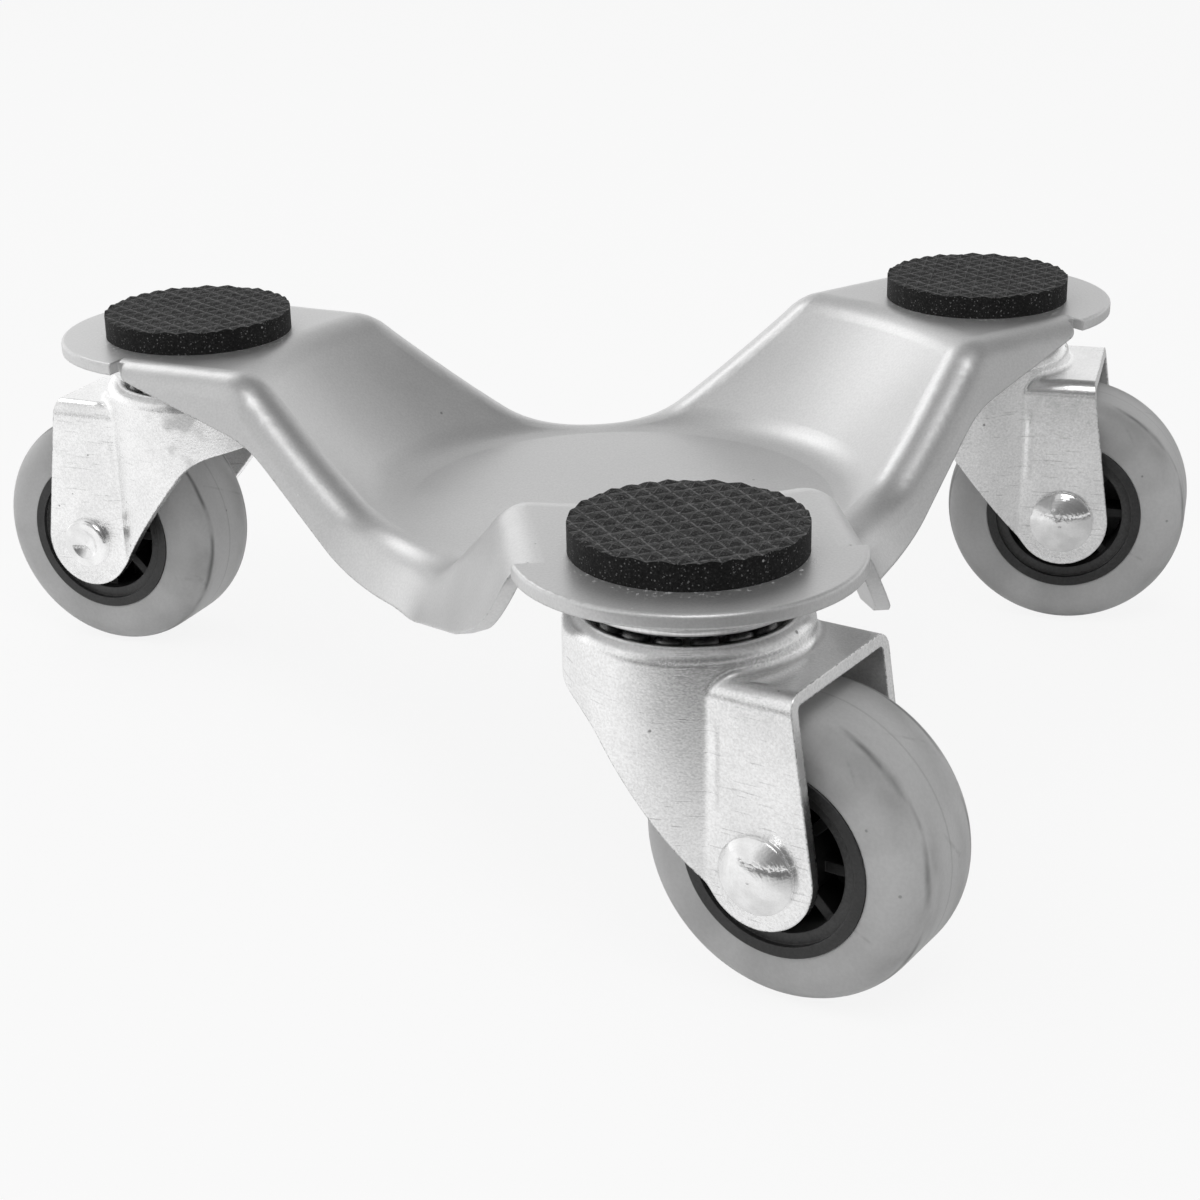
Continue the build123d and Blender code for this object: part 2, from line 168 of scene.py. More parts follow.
class RollerColours(PropertyGroup):
    """Colours of the finishes."""

    paint: FloatVectorProperty(
        name="Frame paint", description="Silver-grey paint on the pressed frame",
        default=(0.70, 0.70, 0.70), size=3, subtype="COLOR",
    )
    # Paler than the paint: bare metal on chipped edges, which is also a painted highlight along the
    # frame's edges
    chips_and_edge_highlight: FloatVectorProperty(
        name="Chipped paint", description="Bare metal where the frame's edges have lost paint",
        default=(0.78, 0.78, 0.78), size=3, subtype="COLOR",
    )
    grains: FloatVectorProperty(
        name="Grains", description="Grains of dust on the paint round the pads",
        default=(0.85, 0.85, 0.85), size=3, subtype="COLOR",
    )
    zinc: FloatVectorProperty(
        name="Zinc plate", description="Bright zinc on forks, races and rivets",
        default=(0.96, 0.96, 0.96), size=3, subtype="COLOR",
    )
    zinc_edge: FloatVectorProperty(
        name="Zinc edge", description="Zinc that is rough on the forks' edges",
        default=(0.93, 0.93, 0.93), size=3, subtype="COLOR",
    )
    # Darker than plain steel: partly grease, partly painted shade of the bearing gap
    balls: FloatVectorProperty(
        name="Ball steel", description="Steel of the bearing balls",
        default=(0.45, 0.45, 0.45), size=3, subtype="COLOR",
    )
    tyre: FloatVectorProperty(
        name="Tyre rubber", description="Grey rubber of the tyres",
        default=(0.60, 0.60, 0.60), size=3, subtype="COLOR",
    )
    hub: FloatVectorProperty(
        name="Hub plastic", description="Black plastic of the hubs",
        default=(0.036, 0.036, 0.036), size=3, subtype="COLOR",
    )
    pad: FloatVectorProperty(
        name="Pad rubber", description="Black sponge rubber of the pads",
        default=(0.022, 0.022, 0.022), size=3, subtype="COLOR",
    )
    # Also the colour of the painted highlights along the pads' pyramid ridges
    dust: FloatVectorProperty(
        name="Dust", description="Pale dust and lint on pads and hubs",
        default=(0.55, 0.55, 0.55), size=3, subtype="COLOR",
    )


class RollerStage(PropertyGroup):
    """Camera, light and floor."""

    camera_place: FloatVectorProperty(
        name="Camera", description="Where the camera stands",
        default=(-0.04808, -0.43708, 0.19845), size=3, subtype="TRANSLATION",
    )
    camera_yaw: FloatProperty(
        name="Yaw", description="Camera's turn to the right of +Y",
        default=radians(5.693), subtype="ANGLE",
    )
    camera_pitch: FloatProperty(
        name="Pitch", description="Camera's tilt down",
        default=radians(21.773), subtype="ANGLE",
    )
    camera_roll: FloatProperty(
        name="Roll", description="Camera's roll",
        default=radians(1.067), subtype="ANGLE",
    )
    camera_lens: FloatProperty(
        name="Lens", description="Focal length on a 36 mm sensor, in millimetres",
        default=71.6,
    )
    key_power: FloatProperty(
        name="Key light", description="Power of the softbox above the camera",
        default=2.2, unit="POWER",
    )
    key_place: FloatVectorProperty(
        name="Key place", description="Where the softbox above the camera hangs",
        default=(0.03, -0.48, 0.93), size=3, subtype="TRANSLATION",
    )
    key_size: FloatProperty(
        name="Key size", description="Side of the softbox above the camera",
        default=0.5, unit="LENGTH",
    )
    rear_power: FloatProperty(
        name="Rear light", description="Power of the softbox behind on the left",
        default=0.85, unit="POWER",
    )
    rear_place: FloatVectorProperty(
        name="Rear place", description="Where the softbox behind on the left hangs",
        default=(-0.45, 0.70, 0.86), size=3, subtype="TRANSLATION",
    )
    rear_size: FloatProperty(
        name="Rear size", description="Side of the softbox behind on the left",
        default=0.4, unit="LENGTH",
    )
    light_target: FloatVectorProperty(
        name="Light target", description="Point that both softboxes face",
        default=(0.0, 0.0, 0.04), size=3, subtype="TRANSLATION",
    )
    dome_level: FloatProperty(
        name="Dome level", description="Brightness of the grey dome",
        default=0.62, subtype="FACTOR",
    )
    dome_glow: FloatProperty(
        name="Dome glow", description="Brightness added low at the back of the dome",
        default=0.42, subtype="FACTOR",
    )
    floor_size: FloatProperty(
        name="Floor size", description="Side of the floor", default=12.0, unit="LENGTH",
    )
    floor_colour: FloatVectorProperty(
        name="Floor colour", description="Pale colour of the floor",
        default=(0.86, 0.86, 0.86), size=3, subtype="COLOR",
    )
    floor_shadow: FloatProperty(
        name="Floor shadow", description="Share of the floor's own light that the camera sees",
        default=0.12, subtype="FACTOR",
    )


# Shader maths


class Field:
    """A value over a surface: a shader socket that takes part in Python sums."""

    def __init__(self, graph, socket):
        self.graph = graph
        self.socket = socket

    def maths(self, operation, *values):
        """The result of a Math node on the given values."""
        return self.graph.node("ShaderNodeMath", {"operation": operation}, dict(enumerate(values)))

    def __add__(self, other):
        return self.maths("ADD", self, other)

    __radd__ = __add__

    def __mul__(self, other):
        return self.maths("MULTIPLY", self, other)

    __rmul__ = __mul__

    def __sub__(self, other):
        return self.maths("SUBTRACT", self, other)

    def __rsub__(self, other):
        return self.maths("SUBTRACT", other, self)

    def __truediv__(self, other):
        return self.maths("DIVIDE", self, other)

    def __pow__(self, other):
        return self.maths("POWER", self, other)

    def __abs__(self):
        return self.maths("ABSOLUTE", self)

    def peak(self, other):
        """The greater of this and another value."""
        return self.maths("MAXIMUM", self, other)

    def ramp(self, low, high, start=0.0, end=1.0):
        """Runs smoothly from start to end as the value goes from low to high."""
        settings = {"interpolation_type": "SMOOTHSTEP"}
        sockets = {0: self, 1: low, 2: high, 3: start, 4: end}
        return self.graph.node("ShaderNodeMapRange", settings, sockets)


class Graph:
    """The node tree of one finish or of the world."""

    def __init__(self, owner):
        owner.use_nodes = True
        self.tree = owner.node_tree
        self.tree.nodes.clear()

    def node(self, kind, settings=None, sockets=None, output=0):
        """Adds a node, sets it up, feeds its sockets and returns one of its outputs."""
        made = self.tree.nodes.new(kind)
        for name, value in (settings or {}).items():
            setattr(made, name, value)
        for key, value in (sockets or {}).items():
            if isinstance(value, Field):
                self.tree.links.new(value.socket, made.inputs[key])
            else:
                made.inputs[key].default_value = value
        return Field(self, made.outputs[output]) if made.outputs else None

    def place(self, centre=(0, 0, 0), turn=(0, 0, 0), stretch=(1, 1, 1)):
        """Object coordinates about a centre, turned with a piece and stretched."""
        where = self.node("ShaderNodeTexCoord", output="Object")
        sockets = {"Vector": where, "Location": centre, "Rotation": turn, "Scale": stretch}
        return self.node("ShaderNodeMapping", {"vector_type": "TEXTURE"}, sockets)

    def parts(self, vector):
        """The three numbers of a vector."""
        kind = "ShaderNodeSeparateXYZ"
        return [self.node(kind, sockets={0: vector}, output=axis) for axis in range(3)]

    def round(self, across, along, radius, depth):
        """A place on a circle about an axis, whatever its own distance from the axis."""
        ring = (across ** 2 + along ** 2) ** 0.5
        sockets = {0: radius * across / ring, 1: radius * along / ring, 2: depth}
        return self.node("ShaderNodeCombineXYZ", sockets=sockets)

    def noise(self, where, size, detail=2.0, roughness=0.5):
        """Cloudy noise from 0 to 1 with spots of about the given size."""
        sockets = {"Vector": where, "Scale": 1.0 / size, "Detail": detail, "Roughness": roughness}
        return self.node("ShaderNodeTexNoise", sockets=sockets)

    def specks(self, where, spacing, radius, share):
        """Scattered round specks in a share of the cells: 1 on a speck, 0 between them."""
        sockets = {"Vector": where, "Scale": 1.0 / spacing, "Randomness": 1.0}
        distance = self.node("ShaderNodeTexVoronoi", sockets=sockets)
        chance = self.node("ShaderNodeTexVoronoi", sockets=sockets, output="Color")
        pick = self.parts(chance)
        size = radius / spacing * (0.4 + 0.6 * pick[1])
        spot = (distance / size).ramp(0.7, 1.0, 1.0, 0.0)
        return spot * pick[0].ramp(share, share - 0.01)

    def edges(self, radius):
        """Normals rounded over the edges, and a mask that is 1 on the edges."""
        rounded = self.node("ShaderNodeBevel", {"samples": 6}, {"Radius": radius})
        plain = self.node("ShaderNodeNewGeometry", output="Normal")
        settings = {"operation": "DOT_PRODUCT"}
        match = self.node("ShaderNodeVectorMath", settings, {0: rounded, 1: plain}, output="Value")
        return rounded, match.ramp(0.99, 0.80)

    def bump(self, height, depth, normal=None):
        """Normals of a surface that a height of 1 raises by the depth."""
        sockets = {"Height": height, "Strength": 1.0, "Distance": depth}
        if normal:
            sockets["Normal"] = normal
        return self.node("ShaderNodeBump", sockets=sockets)

    def shade(self, colour, grey):
        """A colour darkened or lightened by a grey value."""
        settings = {"data_type": "RGBA", "blend_type": "MULTIPLY", "clamp_result": False}
        sockets = {0: 1.0, 6: (*colour, 1.0), 7: grey}
        return self.node("ShaderNodeMix", settings, sockets, output=2)

    def blend(self, factor, under, over):
        """One plain colour laid over another, varying one by a factor."""
        sockets = {0: factor, 6: under, 7: (*over, 1.0)}
        return self.node("ShaderNodeMix", {"data_type": "RGBA"}, sockets, output=2)

    def finish(self, **sockets):
        """Ends the tree in one principled surface."""
        named = {}
        for name, value in sockets.items():
            title = name.replace("_", " ").title().replace("Ior", "IOR")
            named[title] = value
        surface = self.node("ShaderNodeBsdfPrincipled", sockets=named)
        self.node("ShaderNodeOutputMaterial", sockets={"Surface": surface})


def finish_named(name):
    """A new empty finish and its graph."""
    material = bpy.data.materials.new(name)
    return material, Graph(material)


# Finishes


def near_pads(g, where):
    """Is 1 under the pads and fades to 0 a little way past their edges."""
    x, y, _ = g.parts(where)
    near = 0.0
    for arm in ARMS:
        low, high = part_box(f"pad_{arm}")
        foot = (high.x - low.x) / 2
        middle = kingpin(arm)
        reach = ((x - middle.x) ** 2 + (y - middle.y) ** 2) ** 0.5
        near = reach.ramp(foot + DUST_REACH, foot) + near
    return near


def frame_paint(colours):
    """Satin silver-grey paint: cloudy, pitted, nicked at its edges, dusty round the pads, and paler
    where its edges are chipped, which also paints a highlight along them.
    """
    material, g = finish_named("frame_paint")
    where = g.place()
    cloud = g.noise(where, 0.030, 3.0)
    flake = g.noise(where, 0.00045, 1.0)
    peel = g.noise(where, 0.0016, 2.0)
    pits = g.specks(where, spacing=0.0085, radius=0.00042, share=0.34)
    dots = g.specks(where, spacing=0.0042, radius=0.00020, share=0.30)
    rounded, edge = g.edges(0.0006)
    # Chips: bare metal paler than the paint on the edges, which also paints a highlight along them
    chips_and_edge_highlight = edge * g.noise(where, 0.0009, 3.0).ramp(0.42, 0.60)
    nicks = edge * g.noise(where, 0.0012, 2.0).ramp(0.40, 0.30)
    grains = g.noise(where, 0.0007, 2.0, 0.6).ramp(0.59, 0.67) * near_pads(g, where)
    grey = cloud.ramp(0.25, 0.75, 0.955, 1.045) * flake.ramp(0.2, 0.8, 0.95, 1.05)
    grey = grey * (1 - 0.45 * pits) * (1 + 0.30 * dots) * (1 - 0.45 * nicks)
    paint = g.shade(colours.paint, grey)
    paint = g.blend(0.55 * chips_and_edge_highlight, paint, colours.chips_and_edge_highlight)
    paint = g.blend(0.8 * grains, paint, colours.grains)
    height = 0.5 * peel + 0.10 * flake - 0.8 * pits + 0.5 * dots
    height = height - 0.6 * chips_and_edge_highlight + 0.8 * grains
    g.finish(
        base_color=paint,
        metallic=0.80 - 0.6 * grains,
        roughness=cloud.ramp(0.2, 0.8, 0.35, 0.42) + 0.15 * chips_and_edge_highlight,
        normal=g.bump(height, 0.00004, rounded),
    )
    return material


def fork_zinc(arm, colours):
    """Bright zinc plate: mottled, speckled, scratched, with worn edges, a bead and a dish."""
    material, g = finish_named(f"fork_zinc_{arm}")
    turn = (0, 0, trail_turn(arm))
    where = g.place(kingpin(arm), turn)
    along, _, up = g.parts(where)
    mottle = g.noise(where, 0.0042, 4.0, 0.6)
    patch = g.noise(where, 0.013, 3.0)
    speckle = g.noise(where, 0.00042, 2.0, 0.6)
    drawn = g.noise(g.place(kingpin(arm), turn, (1, 1, 0.04)), 0.00045, 2.0)
    scratch = g.noise(g.place(kingpin(arm), turn, (6, 6, 0.35)), 0.0011, 1.0)
    scratch = scratch.ramp(0.68, 0.74)
    nicks = g.specks(where, spacing=0.0046, radius=0.00038, share=0.34)
    rounded, edge = g.edges(0.00045)
    rough_edge = edge * g.noise(where, 0.0008, 3.0).ramp(0.35, 0.60)
    dark_edge = edge * g.noise(where, 0.0008, 2.0).ramp(0.50, 0.40)
    foot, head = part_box(f"axle_{arm}")
    head_radius = (head.z - foot.z) / 2
    rivet = axle(arm) - kingpin(arm)
    ring = ((along - rivet.xy.length) ** 2 + (up - rivet.z) ** 2) ** 0.5
    dished = ring.ramp(head_radius + DISH_REACH, head_radius - DISH_OVERLAP)
    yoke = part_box(f"fork_{arm}")[1].z - CROWN_RISE
    starts = up.ramp(rivet.z + BEAD_FOOT[0], rivet.z + BEAD_FOOT[1])
    ends = up.ramp(yoke - BEAD_HEAD[0], yoke - BEAD_HEAD[1])
    bead = abs(along - LEG_FOLD - BEAD_OFFSET).ramp(BEAD_HALF_WIDTH, 0.0) * (starts * ends)
    grey = mottle.ramp(0.3, 0.7, 0.96, 1.02) * speckle.ramp(0.25, 0.75, 0.88, 1.07)
    grey = grey * patch.ramp(0.30, 0.62, 0.94, 1.02)
    grey = grey * (1 - 0.55 * nicks) * (1 - 0.15 * scratch) * (1 - 0.70 * dark_edge)
    rough = 0.10 + 0.10 * mottle + 0.09 * speckle
    if arm == "right":
        near = ((along - FROST_PLACE[0]) ** 2 + (up - FROST_PLACE[1]) ** 2) ** 0.5
        frost = near.ramp(*FROST_REACH) * g.noise(where, 0.0022, 4.0, 0.7).ramp(0.42, 0.58)
        grey = grey * (1 - 0.35 * frost)
        rough = rough + 0.22 * frost
    if arm == "left":
        # Darker patches on the left fork
        dark_patch = g.noise(where, 0.0085, 2.0).ramp(0.52, 0.66) * along.ramp(*DARK_PATCH_REACH)
        grey = grey * (1 - 0.35 * dark_patch)
    plate = g.blend(0.5 * rough_edge, g.shade(colours.zinc, grey), colours.zinc_edge)
    height = 0.35 * speckle + 0.15 * mottle + 0.12 * drawn
    height = height - 0.9 * nicks - 0.3 * scratch - 0.9 * rough_edge
    height = height + 2.0 * bead - 4.5 * dished
    g.finish(
        base_color=plate,
        metallic=1.0,
        roughness=rough + 0.2 * rough_edge,
        normal=g.bump(height, 0.00007, rounded),
    )
    return material


def rivet_steel(arm, colours):
    """Plated rivet steel: smooth, softly dented by the riveting, with fine turned lines."""
    material, g = finish_named(f"rivet_steel_{arm}")
    where = g.place(axle(arm), (0, 0, trail_turn(arm)))
    along, across, up = g.parts(where)
    dents = g.noise(where, 0.0045, 2.0, 0.5)
    grain = g.noise(where, 0.00040, 2.0)
    ring = (along ** 2 + up ** 2) ** 0.5
    lathe = g.node("ShaderNodeCombineXYZ", sockets={0: ring, 1: across * 0.2})
    turned = g.noise(lathe, 0.00035, 1.0)
    rounded, edge = g.edges(0.00030)
    grey = dents.ramp(0.3, 0.7, 0.86, 1.04) * grain.ramp(0.2, 0.8, 0.95, 1.03)
    height = 0.5 * dents + 0.05 * turned + 0.04 * grain
    g.finish(
        base_color=g.shade(colours.zinc, grey),
        metallic=1.0,
        roughness=0.08 + 0.10 * grain + 0.08 * edge,
        normal=g.bump(height, 0.00040, rounded),
    )
    return material


def race_steel(arm, colours):
    """Plated race cup, brushed round its axis."""
    material, g = finish_named(f"race_steel_{arm}")
    where = g.place(kingpin(arm))
    along, across, up = g.parts(where)
    ring = (along ** 2 + across ** 2) ** 0.5
    brushed = g.noise(g.round(along, across, BRUSH_RADIUS, up + ring), 0.00030, 3.0, 0.6)
    chatter = g.noise(g.round(along, across, CHATTER_RADIUS, up * 0.25), 0.00060, 2.0)
    rounded, _ = g.edges(0.00040)
    grey = brushed.ramp(0.25, 0.75, 0.80, 1.05) * chatter.ramp(0.3, 0.7, 0.90, 1.04)
    g.finish(
        base_color=g.shade(colours.zinc, grey),
        metallic=1.0,
        roughness=0.24 + 0.16 * brushed,
        normal=g.bump(0.5 * brushed + 0.5 * chatter, 0.00006, rounded),
    )
    return material


def ball_steel(colours):
    """Polished bearing steel under a film of dark grease, made darker as painted shade of the gap
    between the races.
    """
    material, g = finish_named("ball_steel")
    film = g.noise(g.place(), 0.0030, 2.0)
    g.finish(
        # Painted shade: the grease film darkens the balls to as little as 0.20, standing in for the
        # dark gap they sit in
        base_color=g.shade(colours.balls, film.ramp(0.3, 0.7, 0.20, 1.0)),
        metallic=1.0,
        roughness=film.ramp(0.3, 0.7, 0.30, 0.08),
    )
    return material


def tyre_rubber(arm, colours):
    """Grey rubber: a parting line round the tread, dirt on the shoulders, scuffs and small pits."""
    material, g = finish_named(f"tyre_rubber_{arm}")
    where = g.place(axle(arm), (0, 0, trail_turn(arm)))
    along, across, up = g.parts(where)
    ring = (along ** 2 + up ** 2) ** 0.5
    strip = g.round(along, up, STRIP_RADIUS, across)
    cloud = g.noise(where, 0.016, 3.0)
    grain = g.noise(where, 0.00060, 2.0)
    wander = g.noise(strip, 0.010, 2.0) - 0.5
    shoulder = abs(abs(across) - SHOULDER - SHOULDER_WANDER * wander)
    streak = shoulder.ramp(STREAK_HALF_WIDTH, 0.0) * g.noise(strip, 0.0060, 3.0).ramp(0.36, 0.58)
    smear = shoulder.ramp(SMEAR_HALF_WIDTH, 0.0) * g.noise(strip, 0.0085, 3.0).ramp(0.40, 0.66)
    bent = g.place(axle(arm), (0.5, 0.3, trail_turn(arm)))
    settings = {"feature": "DISTANCE_TO_EDGE"}
    scuffs = g.node("ShaderNodeTexVoronoi", settings, {"Vector": bent, "Scale": 1 / SCUFF_SPACING})
    scuffs = scuffs.ramp(0.022, 0.004) * g.noise(bent, 0.011, 2.0).ramp(0.52, 0.64)
    scuffs = scuffs * g.noise(bent, 0.0012, 3.0).ramp(0.30, 0.60)
    parting = abs(across).ramp(*PARTING_HALF_WIDTH) * ring.ramp(*TREAD_RADIUS)
    pits = g.specks(where, spacing=0.0050, radius=0.00034, share=0.35)
    rounded, _ = g.edges(0.00030)
    grey = cloud.ramp(0.3, 0.7, 0.95, 1.05) * grain.ramp(0.25, 0.75, 0.97, 1.03)
    grey = grey * (1 - 0.65 * streak) * (1 - 0.34 * smear) * (1 - 0.14 * scuffs)
    grey = grey * (1 - 0.35 * pits) * (1 - 0.14 * parting)
    height = 0.15 * grain + 0.10 * cloud - 0.7 * pits + 0.5 * parting
    g.finish(
        base_color=g.shade(colours.tyre, grey),
        roughness=cloud.ramp(0.3, 0.7, 0.44, 0.54),
        specular_ior_level=0.45,
        normal=g.bump(height, 0.00008, rounded),
    )
    return material


def hub_plastic(arm, colours):
    """Black moulded plastic with a fine grain and caught dust; paler on its step and rim and darker
    inside the step, partly its own finish and partly painted shade; every edge is paler as a
    painted highlight.
    """
    material, g = finish_named(f"hub_plastic_{arm}")
    where = g.place(axle(arm), (0, 0, trail_turn(arm)))
    along, _, up = g.parts(where)
    ring = (along ** 2 + up ** 2) ** 0.5
    step = ring.ramp(*HUB_STEP) * ring.ramp(*reversed(HUB_RIM))
    # Partly the plastic's finish, partly painted shade: darkest inside the step, darker on the
    # rim's lip, palest on the step
    step_tone_and_shade = 0.30 + 1.1 * step + 0.45 * ring.ramp(*HUB_RIM)
    grain = g.noise(where, 0.00050, 3.0, 0.6)
    cloud = g.noise(where, 0.0060, 2.0)
    dust = g.specks(where, spacing=0.0022, radius=0.00016, share=0.30)
    rounded, edge = g.edges(0.00035)
    grey = grain.ramp(0.25, 0.75, 0.65, 1.4) * cloud.ramp(0.3, 0.7, 0.85, 1.2)
    # Painted highlight: every edge is made up to 1.8 times paler
    grey = grey * (1 + 0.8 * edge) * step_tone_and_shade
    plastic = g.blend(0.5 * dust, g.shade(colours.hub, grey), colours.dust)
    g.finish(
        base_color=plastic,
        roughness=grain.ramp(0.2, 0.8, 0.40, 0.56),
        normal=g.bump(grain, 0.00005, rounded),
    )
    return material


def pad_rubber(arm, turn, pitch, colours):
    """Black sponge rubber: pores, pale specks on the cut side, dust along the grooves, painted
    highlights along the pyramids' ridges, and painted shade on its sides.
    """
    material, g = finish_named(f"pad_rubber_{arm}")
    where = g.place(kingpin(arm), (0, 0, turn))
    along, across, _ = g.parts(where)
    pores = g.noise(where, 0.00040, 3.0, 0.7)
    cloud = g.noise(where, 0.0055, 3.0)
    facing = g.parts(g.node("ShaderNodeNewGeometry", output="Normal"))[2]
    top = facing.ramp(0.3, 0.6)
    wobble = 0.20 * g.noise(where, 0.0013, 2.0)
    rows, columns = [
        abs(line.maths("FRACT", line / pitch + wobble - 0.10) - 0.5) for line in (along, across)
    ]
    grooves = rows.peak(columns).ramp(0.42, 0.49)
    # Painted highlight: the pyramids' ridges are drawn as pale lines
    ridge_highlights = abs(rows - columns).ramp(0.06, 0.0)
    worn = g.noise(where, 0.00085, 2.0, 0.6).ramp(0.36, 0.58, 0.12, 1.0)
    lines = grooves.peak(0.7 * ridge_highlights) * worn
    grit = g.noise(where, 0.00038, 2.0, 0.6).ramp(0.54, 0.68) * top.ramp(0.0, 1.0, 0.35, 1.0)
    salt = g.specks(where, spacing=0.00046, radius=0.00019, share=0.50)
    salt = salt * cloud.ramp(0.35, 0.62, 0.40, 1.0)
    fluff = g.specks(where, spacing=0.0030, radius=0.00030, share=0.26)
    grey = pores.ramp(0.34, 0.70, 0.30, 1.9) * cloud.ramp(0.3, 0.7, 0.75, 1.3)
    # Painted shade: the pad's sides are darkened to 0.30 of its top
    grey = grey * top.ramp(0.0, 1.0, 0.30, 1.0)
    pale = (0.27 * lines * top).peak(0.32 * salt * (1 - 0.4 * top))
    pale = pale.peak(0.12 * grit).peak(0.7 * fluff)
    g.finish(
        base_color=g.blend(pale, g.shade(colours.pad, grey), colours.dust),
        roughness=0.70,
        specular_ior_level=0.25,
        normal=g.bump(pores + 0.6 * salt, 0.00012),
    )
    return material


# Modelling helpers


def add_piece(name, primitive, **settings):
    """Adds a primitive with nothing else selected and returns its named object."""
    bpy.ops.object.select_all(action="DESELECT")
    primitive(**settings)
    piece = bpy.context.active_object
    piece.name = name
    piece.data.name = name
    return piece


def settle(piece):
    """Puts a piece's place into its mesh, so that its object sits at the origin."""
    bpy.ops.object.select_all(action="DESELECT")
    piece.select_set(True)
    bpy.context.view_layer.objects.active = piece
    bpy.ops.object.transform_apply(location=True, rotation=True, scale=True)


def wear(piece, material):
    """Gives a piece one finish all over."""
    piece.data.materials.clear()
    piece.data.materials.append(material)


def wear_node(name, material):
    """Gives a CAD node's object one finish all over."""
    node = NODES[name]
    for place in node.material_slots:
        place.material = material
    if not node.material_slots:
        node.data.materials.append(material)


def model_pad(arm, turn, sizes):
    """A round pad cut from a sheet of rubber pyramids."""
    low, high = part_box(f"pad_{arm}")
    centre = (low + high) / 2
    radius = (high.x - low.x) / 2
    thickness = high.z - low.z
    rows = 2 * (int(radius / sizes.pad_pitch) + 2)
    pad = add_piece(
        f"rubber_pad_{arm}", bpy.ops.mesh.primitive_grid_add,
        x_subdivisions=rows, y_subdivisions=rows, size=rows * sizes.pad_pitch,
        location=(centre.x, centre.y, high.z - sizes.pad_relief), rotation=(0, 0, turn),
    )
    settle(pad)
    bpy.ops.object.mode_set(mode="EDIT")
    bpy.ops.mesh.select_mode(type="FACE")
    bpy.ops.mesh.select_all(action="SELECT")
    bpy.ops.mesh.poke(offset=sizes.pad_relief)
    bpy.ops.mesh.select_mode(type="EDGE")
    bpy.ops.mesh.select_all(action="DESELECT")
    bpy.ops.mesh.select_non_manifold(
        use_wire=False, use_multi_face=False, use_non_contiguous=False, use_verts=False,
    )
    drop = (0, 0, sizes.pad_relief - thickness)
    bpy.ops.mesh.extrude_edges_move(TRANSFORM_OT_translate={"value": drop})
    bpy.ops.mesh.edge_face_add()
    bpy.ops.mesh.select_all(action="SELECT")
    bpy.ops.mesh.normals_make_consistent(inside=False)
    bpy.ops.object.mode_set(mode="OBJECT")
    cutter = add_piece(
        "pad_cutter", bpy.ops.mesh.primitive_cylinder_add,
        vertices=sizes.pad_sides, radius=radius, depth=4 * thickness, location=centre,
    )
    bpy.ops.object.select_all(action="DESELECT")
    pad.select_set(True)
    bpy.context.view_layer.objects.active = pad
    trim = pad.modifiers.new("trim", "BOOLEAN")
    trim.operation = "INTERSECT"
    trim.solver = "EXACT"
    trim.object = cutter
    bpy.ops.object.modifier_apply(modifier=trim.name)
    bpy.data.objects.remove(cutter)
    settle(pad)
    return pad


def model_balls(name, sizes):
    """A ring of smooth bearing balls in the place of a CAD node's ring."""
    low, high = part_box(name)
    arm = name.split("_")[-1]
    middle = kingpin(arm)
    radius = (high.z - low.z) / 2
    flat = radius * (sqrt(2) - 1)
    points = [vertex.co - middle for vertex in NODES[name].data.vertices]
    circle = sqrt(max(point.x ** 2 + point.y ** 2 for point in points) - flat ** 2) - radius
    count = int(pi / atan2(radius, circle - flat))
    start = trail_turn(arm)
    first = (middle.x + circle * cos(start), middle.y + circle * sin(start), (low.z + high.z) / 2)
    balls = add_piece(
        f"smooth_{name}", bpy.ops.mesh.primitive_uv_sphere_add,
        segments=sizes.ball_segments, ring_count=sizes.ball_segments // 2,
        radius=BALL_FIT * radius, location=first,
    )
    settle(balls)
    bpy.ops.object.mode_set(mode="EDIT")
    bpy.ops.mesh.select_all(action="SELECT")
    bpy.ops.mesh.spin(
        steps=count, dupli=True, angle=2 * pi, center=(middle.x, middle.y, 0), axis=(0, 0, 1),
    )
    bpy.ops.mesh.select_all(action="SELECT")
    bpy.ops.mesh.remove_doubles(threshold=radius / 1000)
    bpy.ops.mesh.normals_make_consistent(inside=False)
    bpy.ops.mesh.faces_shade_smooth()
    bpy.ops.object.mode_set(mode="OBJECT")
    return balls


# Operators


class ROLLER_OT_pads(Operator):
    """Model the rubber pads on the arms"""

    bl_idname = "roller.pads"
    bl_label = "Rubber pads"

    def execute(self, context):
        scene = context.scene
        for arm, turn in zip(ARMS, scene.roller_sizes.pad_turns):
            pad = model_pad(arm, turn, scene.roller_sizes)
            wear(pad, pad_rubber(arm, turn, scene.roller_sizes.pad_pitch, scene.roller_colours))
            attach(pad, "frame")
            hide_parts(f"pad_{arm}")
        return {"FINISHED"}


class ROLLER_OT_balls(Operator):
    """Model the bearing balls of the swivels"""

    bl_idname = "roller.balls"
    bl_label = "Bearing balls"

    def execute(self, context):
        steel = ball_steel(context.scene.roller_colours)
        for arm in ARMS:
            for row in ("upper", "lower"):
                name = f"{row}_balls_{arm}"
                balls = model_balls(name, context.scene.roller_sizes)
                wear(balls, steel)
                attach(balls, f"balls_{arm}")
                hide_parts(name)
        return {"FINISHED"}


class ROLLER_OT_frame_finish(Operator):
    """Paint the pressed frame"""

    bl_idname = "roller.frame_finish"
    bl_label = "Frame paint"

    def execute(self, context):
        wear_node("pressed_frame", frame_paint(context.scene.roller_colours))
        return {"FINISHED"}


